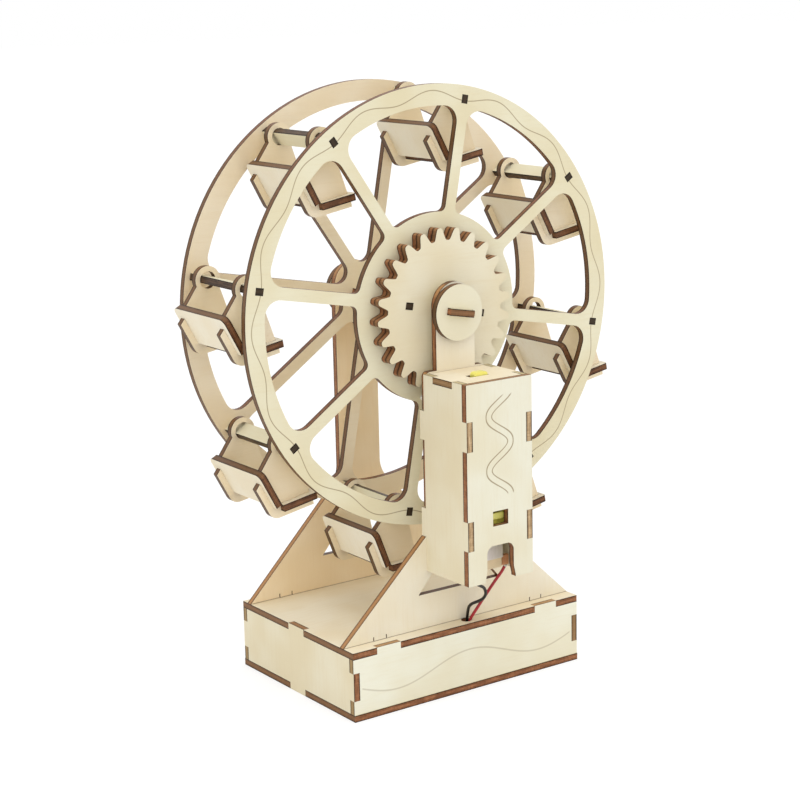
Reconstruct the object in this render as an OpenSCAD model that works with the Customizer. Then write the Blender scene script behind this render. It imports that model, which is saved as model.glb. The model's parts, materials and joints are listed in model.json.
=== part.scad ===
// Wooden ferris wheel kit of laser cut plywood, turned by a small geared motor.
// X runs along the front of the base, -Y is the front with the motor tower, Z is up.
// The origin is the middle of the underside of the base.

/* [Sheet] */
// Thickness of the plywood
ply = 2.5; // [2.2:0.1:2.8]
// Clearance on each side of a tab in its slot
tab_gap = 0.05; // [0.02:0.01:0.1]
// Radial clearance of a pin or shaft that turns in a hole
run_gap = 0.08; // [0.03:0.01:0.1]
// Clearance between flat faces that turn past each other
face_gap = 0.1; // [0.05:0.05:0.3]

/* [Base] */
// Length of the base along its front
base_w = 100; // [95:1:130]
// Depth of the base
base_d = 74; // [74:1:90]
// Height of the base
base_h = 25; // [25:0.5:32]
// How far the bottom plate stands out past the front and back walls
bottom_lip = 0.3; // [0:0.1:0.6]
// Distance from the middle to each tab on top of the front and back walls
wall_tab_x = 35; // [20:1:38]
// Length of the tabs along the edges of the walls
wall_tab_w = 10; // [6:0.5:12]
// Height of the tab at each end of a side wall
corner_tab_h = 10; // [6:0.5:12]
// Diameter of the hole that the wires go down through
wire_hole_d = 3.8; // [3.6:0.1:4.2]

/* [Supports] */
// Distance from the front edge of the base back to the front support
front_support_in = 6; // [5.6:0.1:6.4]
// Distance from the back edge of the base forward to the rear support
rear_support_in = 3.5; // [3:0.1:4.5]
// Slope of the front support's legs, in degrees
front_leg_angle = 43.2; // [40:0.1:46]
// Slope of the rear support's legs, in degrees
rear_leg_angle = 45.5; // [40:0.1:48]
// Width of the front support behind the tower
front_body_w = 26; // [25:0.1:28]
// Height of the front support's shoulders above the tower's upper tabs
shoulder_rise = 13.4; // [11:0.1:18]
// Radius of the shoulders' corners
shoulder_r = 1.8; // [1:0.1:2.5]
// Width of the front support's column above its shoulders
front_column_w = 16.6; // [15:0.1:20]
// Width of the rear support's column
rear_column_w = 18.2; // [16:0.1:22]
// Radius where the rear support's column meets its legs
rear_fillet_r = 11; // [5:0.5:14]
// Height of the centre of the round top of each column above the base
column_round_h = 114.4; // [112.5:0.1:116]
// Height of the lower edge of the opening between the legs above the base
leg_opening_up = 12.6; // [9:0.1:15]
// Height of that opening
leg_opening_h = 12.4; // [8:0.1:14]
// Width of that opening along its bottom
leg_opening_w = 36; // [30:0.5:40]
// Width of that opening along its top
leg_opening_top_w = 15; // [10:0.5:18]
// Distance from the middle to each tab under a support
foot_tab_x = 34.8; // [30:0.1:40]
// Width of the tabs under the supports
foot_tab_w = 5; // [4:0.5:8]
// Width of the relief cut beside each of those tabs
relief_w = 0.35; // [0.2:0.05:0.5]
// Height of the relief cuts
relief_h = 1.6; // [1:0.1:3]

/* [Wheel] */
// Height of the axle above the base
axle_h = 112.2; // [112:0.1:117]
// Outer diameter of the rims
wheel_d = 155.8; // [150:0.1:160]
// Width of a rim's outer ring
ring_w = 7.5; // [7.2:0.1:9]
// Diameter of the disc in the middle of the front rim
hub_d = 67.6; // [62:0.1:72]
// Number of spokes, crossbars and gondolas
spokes = 8; // [8:1:8]
// Width of a spoke
spoke_w = 4.3; // [3.5:0.1:6]
// Radius of the outer corners of the windows
window_outer_r = 5.5; // [3:0.1:7]
// Radius of the inner corners of the front rim's windows
window_inner_r = 2.4; // [1.5:0.1:3.5]
// Radius of the inner ends of the rear rim's windows
rear_window_r = 4.2; // [3:0.1:8]
// Turn of the first spoke from the X axis at rest, in degrees
wheel_turn = -10.7; // [-22:0.1:22]
// Free space between the front support and the large gear
gear_space = 3.1; // [2.5:0.1:3.6]
// Free space between the rear rim and the spacer behind it
rear_rim_space = 4.7; // [4:0.1:5.2]
// Radius of the circle that the crossbars lie on
bar_circle_r = 73.2; // [72.8:0.1:74]
// Width of a crossbar
bar_w = 5.6; // [5.2:0.1:5.8]
// Diameter that rounds the crossbars' edges, which the gondolas hang on
bar_pivot_d = 5.9; // [5.8:0.05:6.2]
// Width of the tenon at each end of a crossbar
tenon_w = 3; // [2.5:0.1:4]

/* [Axle] */
// Width of the axle blade where it turns in the supports
axle_w = 10.4; // [8:0.1:11]
// Width of the axle blade between the rims
axle_body_w = 16; // [13:0.5:20]
// How far the axle stands out past each cap
axle_proud = 2; // [0:0.1:3]
// Diameter of the caps outside the supports
cap_d = 19.8; // [18:0.1:22]
// How much longer the front cap's slot is on one side
cap_slot_extra = 0.6; // [0:0.1:3]
// Diameter of the spacer in front of the rear support
spacer_d = 15; // [14:0.5:20]

/* [Gears] */
// Number of teeth on the large gear
gear_teeth = 24; // [24:1:24]
// Number of teeth on the pinion
pinion_teeth = 6; // [6:1:6]
// Distance from the axle down to the motor shaft
shaft_drop = 33.3; // [33:0.1:33.6]
// Height of the large gear's teeth outside its pitch circle
gear_addendum = 2.05; // [1.9:0.05:2.1]
// Depth of its teeth inside the pitch circle
gear_dedendum = 2.25; // [2.2:0.05:2.4]
// Height of the pinion's teeth outside its pitch circle
pinion_addendum = 1.75; // [1.6:0.05:1.8]
// Depth of its teeth inside the pitch circle
pinion_dedendum = 2.55; // [2.5:0.05:2.8]
// Turn of the large gear at rest, in degrees
gear_turn = -3.7; // [-7:0.1:7]
// Radius of the circle that the gear pins lie on
gear_pin_circle_r = 15.6; // [14:0.1:18]
// Width of the gear pins, outwards from the axle
gear_pin_w = 2.9; // [2:0.1:4]
// How far the gear pins stand out of the front layer
gear_pin_proud = 0.2; // [0:0.05:0.5]

/* [Tower] */
// Width of the motor tower
tower_w = 28.2; // [28:0.1:28.6]
// Depth of the tower in front of the front support
tower_d = 24.5; // [24.2:0.1:26]
// Height of the tower's lower edge above the base
tower_up = 21; // [20:0.1:22]
// Height of the tower
tower_h = 70.8; // [70:0.1:71]
// Height of the lower tabs above the tower's lower edge
lower_tab_up = 12.5; // [11:0.1:14]
// Height of the upper tabs above the tower's lower edge
upper_tab_up = 47.5; // [44:0.1:49]
// Height of each of those tabs
side_panel_tab_h = 10.4; // [8:0.1:12]
// Width of the tabs at the sides of the tower's top plate
roof_tab_w = 11; // [8:0.1:13]
// Distance from the front support to those tabs
roof_tab_y = 5.5; // [4:0.1:7]
// Width of the window in the front panel
window_w = 6.6; // [5:0.1:9]
// Height of the window
window_h = 5.3; // [4:0.1:7]
// Height of the window's lower edge above the tower's lower edge
window_up = 19.7; // [18:0.1:29]
// Width of the arch at the bottom of the front panel
arch_w = 11.6; // [9:0.1:13]
// Height of the arch
arch_h = 12.8; // [10:0.1:14]
// Radius of the arch's corners
arch_r = 2.8; // [1.5:0.1:4]
// How far the arch flares out on each side at its foot
arch_flare = 0.8; // [0.2:0.1:1.5]

/* [Motor] */
// Width of the gearbox
gearbox_w = 22.5; // [22:0.1:22.7]
// Depth of the gearbox along its shaft
gearbox_d = 18.8; // [18:0.1:19.4]
// Length of the gearbox with the sleeve round the motor can
gearbox_l = 52; // [50:0.5:53]
// Radius of the gearbox's upright edges
gearbox_r = 1.5; // [0.5:0.1:3]
// Width of the locating lug on top of the gearbox
lug_w = 5.6; // [4:0.1:8]
// Depth of that lug
lug_d = 2.6; // [2:0.1:4]
// Distance from the gearbox's front face to that lug
lug_y = 4.3; // [2.5:0.1:6]
// How far the lug stands up through the tower's top plate
lug_proud = 1.3; // [0:0.1:2]
// Radius of the lug's upper corners
lug_r = 1.2; // [0.5:0.1:1.8]
// Clearance round the lug in the tower's top plate
lug_gap = 0.3; // [0.2:0.1:0.8]
// How much longer that slot is on its left side
lug_slot_extra = 1.6; // [0:0.1:2]
// Diameter of the motor can
can_d = 20; // [19:0.1:20.4]
// Thickness of the motor can between its flats
can_flat = 15.1; // [14:0.1:15.6]
// Length of the motor can below the gearbox
can_l = 11.3; // [10:0.1:12.6]
// Height of the end cap under the motor can
end_cap_h = 3.5; // [2.5:0.1:4]
// Diameter of the motor shaft
shaft_d = 5.4; // [5:0.1:5.6]
// Thickness of the motor shaft between its flats
shaft_flat = 3.7; // [3.4:0.1:4]
// Depth of the motor shaft inside the gearbox
shaft_seat = 12; // [8:0.5:14]
// Diameter of the hole for the motor shaft in the front support
shaft_hole_d = 8; // [7:0.1:10]

/* [Power] */
// Free space between the front wall and the battery box
box_front_space = 5.4; // [5:0.1:8]
// Free space between the battery box and the base's top plate
box_top_space = 2; // [1.5:0.1:3]
// Thickness of the battery box's walls
box_wall = 1.6; // [1.2:0.1:1.8]
// Clearance above a battery cell in the box
cell_gap = 0.6; // [0.2:0.1:1]
// Clearance beside each cell
cell_side_gap = 0.8; // [0.5:0.1:2]
// Diameter of a cell's nub
nub_d = 5.5; // [4:0.1:6]
// Height of a cell's nub
nub_h = 1.2; // [0.8:0.1:1.5]
// Thickness of the contact plates
contact_t = 0.5; // [0.3:0.1:0.8]
// Width and height of the contact plates
contact_w = 10; // [8:0.5:12]
// Depth of the switch's room behind the cells
switch_room = 6.7; // [6.4:0.1:8]
// Width of the switch body
switch_w = 12; // [10:0.5:15]
// Height of the switch body
switch_h = 6; // [5:0.5:8]
// Depth of the switch body
switch_d = 5; // [4:0.1:5.4]
// Width of the switch slider
slider_w = 3; // [2:0.1:4]
// Height of the switch slider
slider_h = 2.5; // [2:0.1:3]
// Travel of the switch slider
slider_travel = 3; // [2:0.1:4]
// How far the slider stands out of the back wall
slider_proud = 1.5; // [0.5:0.1:3]
// Clearance round the slider
slider_gap = 0.3; // [0.1:0.05:0.4]

/* [Gondola] */
// Free space between a gondola's panels and each rim
gondola_space = 2.6; // [2:0.1:3.5]
// Distance from the end of a panel to the middle of a side plate
plate_in = 3.65; // [3:0.05:5]
// Outer diameter of the eye that hangs on a crossbar
eye_d = 9.6; // [9:0.1:11]
// Number of the gondola that has swung out of its upright place
swung_gondola = 7; // [1:1:8]
// Swing of that gondola, clockwise as seen from the front, in degrees
gondola_swing = 7; // [0:0.5:12]
// Depth of the seat's inner corner below the crossbar
corner_drop = 20.6; // [19:0.1:22]
// Distance from the crossbar back to that corner
corner_back = 2.4; // [1.5:0.1:4]
// Lean of the back panel from upright, in degrees
back_lean = 28; // [22:0.5:32]
// Rise of the seat panel from level, in degrees
seat_rise = 10; // [5:0.5:15]
// Length of the back panel
back_l = 14.5; // [13:0.1:16]
// Length of the seat panel
seat_l = 14.4; // [13:0.1:16]
// Gap from the corner to the inner end of each panel
corner_gap = 0.4; // [0.3:0.05:0.8]
// Width of the arms of a side plate outside the panels
arm_w = 2.3; // [1.8:0.1:2.8]
// Radius of a side plate's outer corner
arm_corner_r = 4; // [3:0.1:4.5]
// How far a side plate's rear arm stops below the back panel's top
rear_arm_short = 3.9; // [2:0.1:6]
// How far a side plate's lower arm stops short of the seat's tip
seat_arm_short = 1; // [0.5:0.1:3]
// Radius of the back panel's top corners
back_corner_r = 2.2; // [1:0.1:4]
// Radius of the seat panel's front corners
seat_corner_r = 1; // [0.5:0.1:3]

/* [Wires] */
// Diameter of a wire with its insulation
wire_d = 1.1; // [1:0.1:1.2]

/* [Hidden] */
birch = [0.93, 0.88, 0.75];
yellow = [0.93, 0.85, 0.15];
silver = [0.78, 0.78, 0.80];
cream = [0.90, 0.82, 0.66];
round_steps = 48;
overrun = 1;

// Places in the base
wall_y = base_d / 2 - bottom_lip;
wall_inner_y = wall_y - ply;
wall_inner_x = base_w / 2 - ply;
base_mid_z = base_h / 2;

// Front faces and heights of the supports
front_support_y = -base_d / 2 + front_support_in;
rear_support_y = base_d / 2 - rear_support_in - ply;
column_round_z = base_h + column_round_h;
leg_opening_z = base_h + leg_opening_up;
wire_hole = [1.4, front_support_y - wire_hole_d / 2, base_h];

// Places along the axle
axle_z = base_h + axle_h;
gear_front_y = front_support_y + ply + gear_space;
wheel_front_y = gear_front_y + 2 * ply;
spacer_y = rear_support_y - face_gap - ply;
wheel_rear_y = spacer_y - rear_rim_space;
inner_front_y = wheel_front_y + ply;
inner_rear_y = wheel_rear_y - ply;
rim_gap = inner_rear_y - inner_front_y;
wheel_mid_y = (inner_front_y + inner_rear_y) / 2;
front_cap_y = front_support_y - face_gap - ply;
rear_cap_y = rear_support_y + ply + face_gap;
axle_front_y = front_cap_y - axle_proud;
axle_rear_y = rear_cap_y + ply + axle_proud;
axle_hole_d = axle_w + 2 * run_gap;

// Places in the tower and the motor
tower_front_y = front_support_y - tower_d;
tower_bottom_z = base_h + tower_up;
tower_top_z = tower_bottom_z + tower_h;
lower_tab_z = tower_bottom_z + lower_tab_up;
upper_tab_z = tower_bottom_z + upper_tab_up;
shoulder_z = upper_tab_z + side_panel_tab_h + shoulder_rise;
window_z = tower_bottom_z + window_up;
arch_top_z = tower_bottom_z + arch_h;
roof_z = tower_top_z - ply;
panel_inner_x = tower_w / 2 - ply;
notch_x = panel_inner_x - tab_gap;
gearbox_front_y = front_support_y - gearbox_d;
gearbox_mid_y = front_support_y - gearbox_d / 2;
can_top_z = roof_z - gearbox_l;
end_cap_z = can_top_z - can_l;
shaft_z = axle_z - shaft_drop;
arch_x = -0.2;
end_cap_rim = 0.5;
terminal_w = 2.8;
terminal_t = 1.2;
terminal_h = 3.6;
terminal_in = 8.2;
terminal_forward = 4.6;
terminal_drop = 0.3;

// Gear sizes
gear_pitch_r = shaft_drop * gear_teeth / (gear_teeth + pinion_teeth);
pinion_pitch_r = shaft_drop - gear_pitch_r;
gear_pitch_angle = 360 / gear_teeth;
pinion_pitch_angle = 360 / pinion_teeth;
pinion_turn = 90 - gear_turn * gear_teeth / pinion_teeth;

// Half the angle of a tooth over its pitch angle, at shares of the way from root to tip
gear_tooth_shares = [
    [0, 0.42], [0.06, 0.36], [0.28, 0.29], [0.52, 0.235], [0.8, 0.17], [0.94, 0.12], [1, 0.05]
];
pinion_tooth_shares = [
    [0, 0.38], [0.12, 0.29], [0.35, 0.225], [0.58, 0.185], [0.8, 0.125], [0.94, 0.075], [1, 0.03]
];

// Sizes and places of the battery box, which fills the depth and height of the base, and its cells
box_h = base_h - 2 * ply - box_top_space;
cell_d = box_h - 2 * box_wall - cell_gap;
cell_pitch = cell_d + cell_side_gap;
box_w = cell_pitch + cell_d + 2 * (cell_side_gap + box_wall);
box_back_y = wall_inner_y;
box_front_y = -wall_inner_y + box_front_space;
box_inner_front_y = box_front_y + box_wall;
partition_y = box_back_y - switch_room - 2 * box_wall;
cell_front_y = box_inner_front_y + contact_t;
cell_rear_y = partition_y - contact_t;
cell_l = cell_rear_y - cell_front_y;
cell_z = ply + box_wall + cell_d / 2;
slider_x = -slider_travel / 2;
slider_seat = 2;
slider_slot_w = slider_w + slider_travel + 2 * slider_gap;
slider_slot_h = slider_h + 2 * slider_gap;

// Width of a gondola's panels and distance between the middles of its side plates
gondola_w = rim_gap - 2 * gondola_space;
plate_pitch = gondola_w - 2 * plate_in;

// Corner and directions of a gondola's panels, seen from the front with the crossbar at zero
corner = [-corner_back, -corner_drop];
back_dir = [-sin(back_lean), cos(back_lean)];
back_out = [-cos(back_lean), -sin(back_lean)];
seat_dir = [cos(seat_rise), sin(seat_rise)];
seat_out = [sin(seat_rise), -cos(seat_rise)];
eye_hole_d = bar_pivot_d + 2 * run_gap;
eye_left_angle = 203;
eye_right_angle = -28;
neck_left_inset = 0.5;
neck_right_inset = 1.8;
arm_slant = 1;

// Routes of the wires from the motor to the battery box, counted from the middle of the hole in
// the base's top plate, at its upper edge
wire_sides = 8;
red_route = [
    [8.6, -12.1, 21.9], [7.2, -11.9, 19.7], [6, -10.4, 16.9],
    [5.3, -9, 14.6], [4.6, -7.6, 12.2], [3.8, -6.3, 9.8], [3.1, -4.9, 7.4], [2.4, -3.5, 4.9],
    [1.7, -2.1, 2.5], [1, -0.9, 0], [0.9, -0.6, -2.5], [0.9, -0.5, -5], [0.8, -0.1, -7.5],
    [0.7, 0.7, -9.6], [0.6, 2.3, -11], [0.6, 4.1, -11]
];
black_route = [
    [-11.2, -12.1, 21.9], [-9, -12.4, 19.9], [-6.8, -12.4, 18.9], [-4.4, -11.9, 17.4],
    [-2, -11.1, 16], [0.2, -10.4, 14.7], [1.5, -9.8, 12.6], [1.9, -8.5, 10.3], [1.1, -6.5, 8.6],
    [-0.2, -4.3, 7.4], [-0.4, -2.4, 5.8], [0.1, -1, 3.6], [0.6, 0.1, 1.4], [0.7, 0.5, -1],
    [0.5, 0.6, -3.6], [-0.2, 0.7, -6.2], [-1.2, 1.2, -8.6], [-2.2, 2.3, -11], [-2.2, 4.1, -11]
];

// Points of an arc round a centre
function arc(centre, r, from, to, steps) = [
    for (i = [0:steps]) let (a = from + (to - from) * i / steps) centre + r * [cos(a), sin(a)]
];
// The same outline with its left half added
function mirrored(points) = [for (i = [len(points) - 1:-1:0]) [-points[i].x, points[i].y]];
// The point at a distance r and an angle a
function polar(r, a) = [r * cos(a), r * sin(a)];
// A direction of length one
function unit(v) = v / norm(v);

// A flat sheet with its front face at front_y, drawn as seen from the front
module sheet_y(front_y, t = ply) {
    translate([0, front_y + t, 0]) rotate([90, 0, 0]) linear_extrude(t) children();
}
// A flat sheet with its left face at left_x, drawn with Y to the right and Z up
module sheet_x(left_x, t = ply) {
    translate([left_x, 0, 0]) rotate([90, 0, 90]) linear_extrude(t) children();
}
// A level sheet with its underside at bottom_z
module sheet_z(bottom_z, t = ply) {
    translate([0, 0, bottom_z]) linear_extrude(t) children();
}
// A rectangle from one corner to the other
module rect(x0, x1, y0, y1) {
    translate([x0, y0]) square([x1 - x0, y1 - y0]);
}
// A rectangle centred on a point
module slot(w, h) {
    translate([-w / 2, -h / 2]) square([w, h]);
}
// A block between two corners
module block(low, high) {
    translate(low) cube(high - low);
}

// Base
module base_bottom() {
    color(birch) sheet_z(0) difference() {
        rect(-base_w / 2, base_w / 2, -base_d / 2, base_d / 2);
        for (side = [-1, 1]) translate([side * (base_w / 2), 0])
            slot(2 * ply, wall_tab_w + 2 * tab_gap);
    }
}
module base_top() {
    color(birch) sheet_z(base_h - ply) difference() {
        rect(-base_w / 2, base_w / 2, -wall_y, wall_y);
        for (side = [-1, 1]) {
            translate([side * base_w / 2, 0]) slot(2 * ply, wall_tab_w + 2 * tab_gap);
            for (tab = [-1, 1]) translate([tab * wall_tab_x, side * wall_y])
                slot(wall_tab_w + 2 * tab_gap, 2 * ply);
            translate([side * foot_tab_x, front_support_y + ply / 2])
                slot(foot_tab_w + 2 * tab_gap, ply + 2 * tab_gap);
            translate([side * foot_tab_x, rear_support_y + ply / 2])
                slot(foot_tab_w + 2 * tab_gap, ply + 2 * tab_gap);
        }
        translate([wire_hole.x, wire_hole.y]) circle(d = wire_hole_d, $fn = round_steps);
    }
}
// Outline of the front and back walls
module long_wall() {
    difference() {
        union() {
            rect(-base_w / 2, base_w / 2, ply, base_h - ply);
            for (side = [-1, 1])
                rect(side * wall_tab_x - wall_tab_w / 2, side * wall_tab_x + wall_tab_w / 2, ply, base_h);
        }
        for (side = [-1, 1]) translate([side * base_w / 2, base_mid_z])
            slot(2 * ply, corner_tab_h + 2 * tab_gap);
    }
}
module base_front_wall() {
    color(birch) sheet_y(-wall_y) long_wall();
}
module base_back_wall() {
    color(birch) sheet_y(wall_inner_y) difference() {
        long_wall();
        translate([0, cell_z]) slot(slider_slot_w, slider_slot_h);
    }
}
// Outline of a side wall, drawn with Y to the right
module short_wall() {
    rect(-wall_inner_y, wall_inner_y, ply, base_h - ply);
    translate([0, base_mid_z]) slot(2 * wall_y, corner_tab_h);
    rect(-wall_tab_w / 2, wall_tab_w / 2, 0, base_h);
}
module base_left_wall() {
    color(birch) sheet_x(-base_w / 2) short_wall();
}
module base_right_wall() {
    color(birch) sheet_x(wall_inner_x) short_wall();
}

// Supports
module leg_opening() {
    polygon([
        [-leg_opening_w / 2, leg_opening_z], [leg_opening_w / 2, leg_opening_z],
        [leg_opening_top_w / 2, leg_opening_z + leg_opening_h],
        [-leg_opening_top_w / 2, leg_opening_z + leg_opening_h]
    ]);
}
module foot_tabs() {
    for (side = [-1, 1]) translate([side * foot_tab_x, base_h - ply / 2]) slot(foot_tab_w, ply);
}
module foot_reliefs() {
    for (side = [-1, 1], edge = [-1, 1])
        translate([side * foot_tab_x + edge * (foot_tab_w + relief_w) / 2, base_h])
            slot(relief_w, 2 * relief_h);
}
module front_support() {
    low_z = lower_tab_z - tab_gap;
    low_top_z = lower_tab_z + side_panel_tab_h + tab_gap;
    high_z = upper_tab_z - tab_gap;
    high_top_z = upper_tab_z + side_panel_tab_h + tab_gap;
    leg_top_x = base_w / 2 - (low_z - base_h) / tan(front_leg_angle);
    body_x = front_body_w / 2;
    column_r = front_column_w / 2;
    right = concat(
        [
            [base_w / 2, base_h], [leg_top_x, low_z], [notch_x, low_z], [notch_x, low_top_z],
            [body_x, low_top_z], [body_x, high_z], [notch_x, high_z], [notch_x, high_top_z],
            [body_x, high_top_z]
        ],
        arc([body_x - shoulder_r, shoulder_z - shoulder_r], shoulder_r, 0, 90, 6),
        [[column_r, shoulder_z]]
    );
    color(birch) sheet_y(front_support_y) difference() {
        union() {
            polygon(concat(right, arc([0, column_round_z], column_r, 0, 180, 36), mirrored(right)));
            foot_tabs();
        }
        foot_reliefs();
        leg_opening();
        translate([0, axle_z]) circle(d = axle_hole_d, $fn = round_steps);
        translate([0, shaft_z]) circle(d = shaft_hole_d, $fn = round_steps);
    }
}
module rear_support() {
    a = rear_leg_angle;
    column_r = rear_column_w / 2;
    meet_z = base_h + (base_w / 2 - column_r) * tan(a);
    fillet_z = meet_z + rear_fillet_r * (1 - sin(a)) / cos(a);
    right = concat(
        [[base_w / 2, base_h]],
        arc([column_r + rear_fillet_r, fillet_z], rear_fillet_r, 270 - a, 180, 8)
    );
    color(birch) sheet_y(rear_support_y) difference() {
        union() {
            polygon(concat(right, arc([0, column_round_z], column_r, 0, 180, 36), mirrored(right)));
            foot_tabs();
        }
        foot_reliefs();
        leg_opening();
        translate([0, axle_z]) circle(d = axle_hole_d, $fn = round_steps);
    }
}

// Motor tower
module tower_front() {
    arch_foot_z = (tower_bottom_z + arch_top_z) / 2 - arch_r / 2 - arch_flare;
    color(birch) sheet_y(tower_front_y) difference() {
        rect(-tower_w / 2, tower_w / 2, tower_bottom_z, tower_top_z);
        for (side = [-1, 1], z = [lower_tab_z, upper_tab_z])
            translate([side * tower_w / 2, z + side_panel_tab_h / 2])
                slot(2 * (ply + tab_gap), side_panel_tab_h + 2 * tab_gap);
        translate([0, window_z + window_h / 2]) slot(window_w, window_h);
        polygon(concat(
            [
                [arch_x - arch_w / 2 - arch_flare, tower_bottom_z - overrun],
                [arch_x + arch_w / 2 + arch_flare, tower_bottom_z - overrun],
                [arch_x + arch_w / 2 + arch_flare, tower_bottom_z + arch_flare],
                [arch_x + arch_w / 2, arch_foot_z]
            ],
            arc([arch_x + arch_w / 2 - arch_r, arch_top_z - arch_r], arch_r, 0, 90, 8),
            arc([arch_x - arch_w / 2 + arch_r, arch_top_z - arch_r], arch_r, 90, 180, 8),
            [
                [arch_x - arch_w / 2, arch_foot_z],
                [arch_x - arch_w / 2 - arch_flare, tower_bottom_z + arch_flare]
            ]
        ));
    }
}
// Outline of a side panel, drawn with Y to the right
module side_panel() {
    back_y = front_support_y;
    difference() {
        union() {
            rect(tower_front_y + ply, back_y, tower_bottom_z, tower_top_z);
            for (z = [lower_tab_z, upper_tab_z])
                rect(tower_front_y, back_y + ply, z, z + side_panel_tab_h);
        }
        translate([back_y - roof_tab_y - roof_tab_w / 2, tower_top_z])
            slot(roof_tab_w + 2 * tab_gap, 2 * ply);
    }
}
module tower_left() {
    color(birch) sheet_x(-tower_w / 2) side_panel();
}
module tower_right() {
    color(birch) sheet_x(panel_inner_x) side_panel();
}
module tower_top() {
    lug_front_y = gearbox_front_y + lug_y;
    color(birch) sheet_z(roof_z) difference() {
        union() {
            rect(-panel_inner_x, panel_inner_x, tower_front_y + ply, front_support_y);
            translate([0, front_support_y - roof_tab_y - roof_tab_w / 2]) slot(tower_w, roof_tab_w);
        }
        rect(
            -lug_w / 2 - lug_gap - lug_slot_extra, lug_w / 2 + lug_gap,
            lug_front_y - lug_gap, lug_front_y + lug_d + lug_gap
        );
    }
}

// Geared motor
module motor_gearbox() {
    x = gearbox_w / 2 - gearbox_r;
    y = gearbox_d / 2 - gearbox_r;
    lug_round_x = lug_w / 2 - lug_r;
    lug_round_z = tower_top_z + lug_proud - lug_r;
    color(yellow) difference() {
        union() {
            translate([0, gearbox_mid_y, can_top_z]) linear_extrude(gearbox_l) polygon(concat(
                arc([x, y], gearbox_r, 0, 90, 6), arc([-x, y], gearbox_r, 90, 180, 6),
                arc([-x, -y], gearbox_r, 180, 270, 6), arc([x, -y], gearbox_r, 270, 360, 6)
            ));
            sheet_y(gearbox_front_y + lug_y, lug_d) polygon(concat(
                [[-lug_w / 2, roof_z - overrun], [lug_w / 2, roof_z - overrun]],
                arc([lug_round_x, lug_round_z], lug_r, 0, 90, 6),
                arc([-lug_round_x, lug_round_z], lug_r, 90, 180, 6)
            ));
        }
        translate([0, front_support_y - shaft_seat, shaft_z]) rotate([-90, 0, 0])
            cylinder(d = shaft_d + 2 * run_gap, h = shaft_seat + overrun, $fn = round_steps);
    }
}
// Section of the motor can, seen from above
module can_section(d, flat) {
    intersection() {
        circle(d = d, $fn = round_steps);
        slot(d + overrun, flat);
    }
}
module motor_can() {
    color(silver) translate([0, gearbox_mid_y, end_cap_z]) linear_extrude(can_l)
        can_section(can_d, can_flat);
}
// Sections of the two terminals, seen from above
module terminal_sections() {
    for (side = [-1, 1]) translate([side * (terminal_in + terminal_w / 2), -terminal_forward])
        slot(terminal_w, terminal_t);
}
module motor_end_cap() {
    color(cream) translate([0, gearbox_mid_y, end_cap_z - end_cap_h]) linear_extrude(end_cap_h)
        difference() {
            can_section(can_d - 2 * end_cap_rim, can_flat - 2 * end_cap_rim);
            terminal_sections();
        }
}
module motor_terminals() {
    color([0.75, 0.45, 0.3]) translate([0, gearbox_mid_y, end_cap_z - end_cap_h - terminal_drop])
        linear_extrude(terminal_h) terminal_sections();
}
module motor_shaft() {
    end_y = wheel_front_y;
    color("white") {
        translate([0, front_support_y - shaft_seat, shaft_z]) rotate([-90, 0, 0])
            cylinder(d = shaft_d, h = shaft_seat, $fn = round_steps);
        translate([0, end_y, shaft_z]) rotate([90, 0, 0])
            linear_extrude(end_y - front_support_y) intersection() {
                circle(d = shaft_d, $fn = round_steps);
                slot(shaft_flat, shaft_d + overrun);
            }
    }
}
// Outline of a gear from its tooth's shares
module gear_outline(teeth, root_r, tip_r, tooth_shares, turn) {
    pitch_angle = 360 / teeth;
    last = len(tooth_shares) - 1;
    polygon([
        for (k = [0:teeth - 1]) each concat(
            [
                for (i = [0:last]) polar(
                    root_r + tooth_shares[i][0] * (tip_r - root_r),
                    turn + (k - tooth_shares[i][1]) * pitch_angle
                )
            ],
            [
                for (i = [last:-1:0]) polar(
                    root_r + tooth_shares[i][0] * (tip_r - root_r),
                    turn + (k + tooth_shares[i][1]) * pitch_angle
                )
            ]
        )
    ]);
}
module drive_pinion() {
    color("white") sheet_y(gear_front_y, 2 * ply) translate([0, shaft_z]) difference() {
        gear_outline(
            pinion_teeth, pinion_pitch_r - pinion_dedendum, pinion_pitch_r + pinion_addendum,
            pinion_tooth_shares, pinion_turn
        );
        intersection() {
            circle(d = shaft_d, $fn = round_steps);
            slot(shaft_flat, shaft_d + overrun);
        }
    }
}

// Battery box and switch
module battery_box() {
    color([0.12, 0.12, 0.12]) difference() {
        block([-box_w / 2, box_front_y, ply], [box_w / 2, box_back_y, ply + box_h - box_wall]);
        block(
            [-box_w / 2 + box_wall, box_inner_front_y, ply + box_wall],
            [box_w / 2 - box_wall, partition_y, ply + box_h]
        );
        block(
            [-box_w / 2 + box_wall, partition_y + box_wall, ply + box_wall],
            [box_w / 2 - box_wall, box_back_y - box_wall, ply + box_h]
        );
        translate([0, box_back_y, cell_z])
            cube([slider_slot_w, 4 * box_wall, slider_slot_h], center = true);
    }
}
module battery_lid() {
    color([0.12, 0.12, 0.12]) block(
        [-box_w / 2, box_front_y, ply + box_h - box_wall], [box_w / 2, box_back_y, ply + box_h]
    );
}
module battery_cells() {
    color([0.25, 0.35, 0.3]) for (side = [-1, 1])
        translate([side * cell_pitch / 2, (cell_front_y + cell_rear_y) / 2, cell_z])
            rotate([side * 90, 0, 0]) {
                translate([0, 0, -cell_l / 2]) cylinder(d = cell_d, h = cell_l - nub_h, $fn = round_steps);
                cylinder(d = nub_d, h = cell_l / 2, $fn = round_steps);
            }
}
module battery_contacts() {
    color(silver) for (side = [-1, 1], y = [box_inner_front_y, cell_rear_y])
        translate([side * cell_pitch / 2, y + contact_t / 2, cell_z])
            cube([contact_w, contact_t, contact_w], center = true);
}
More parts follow.
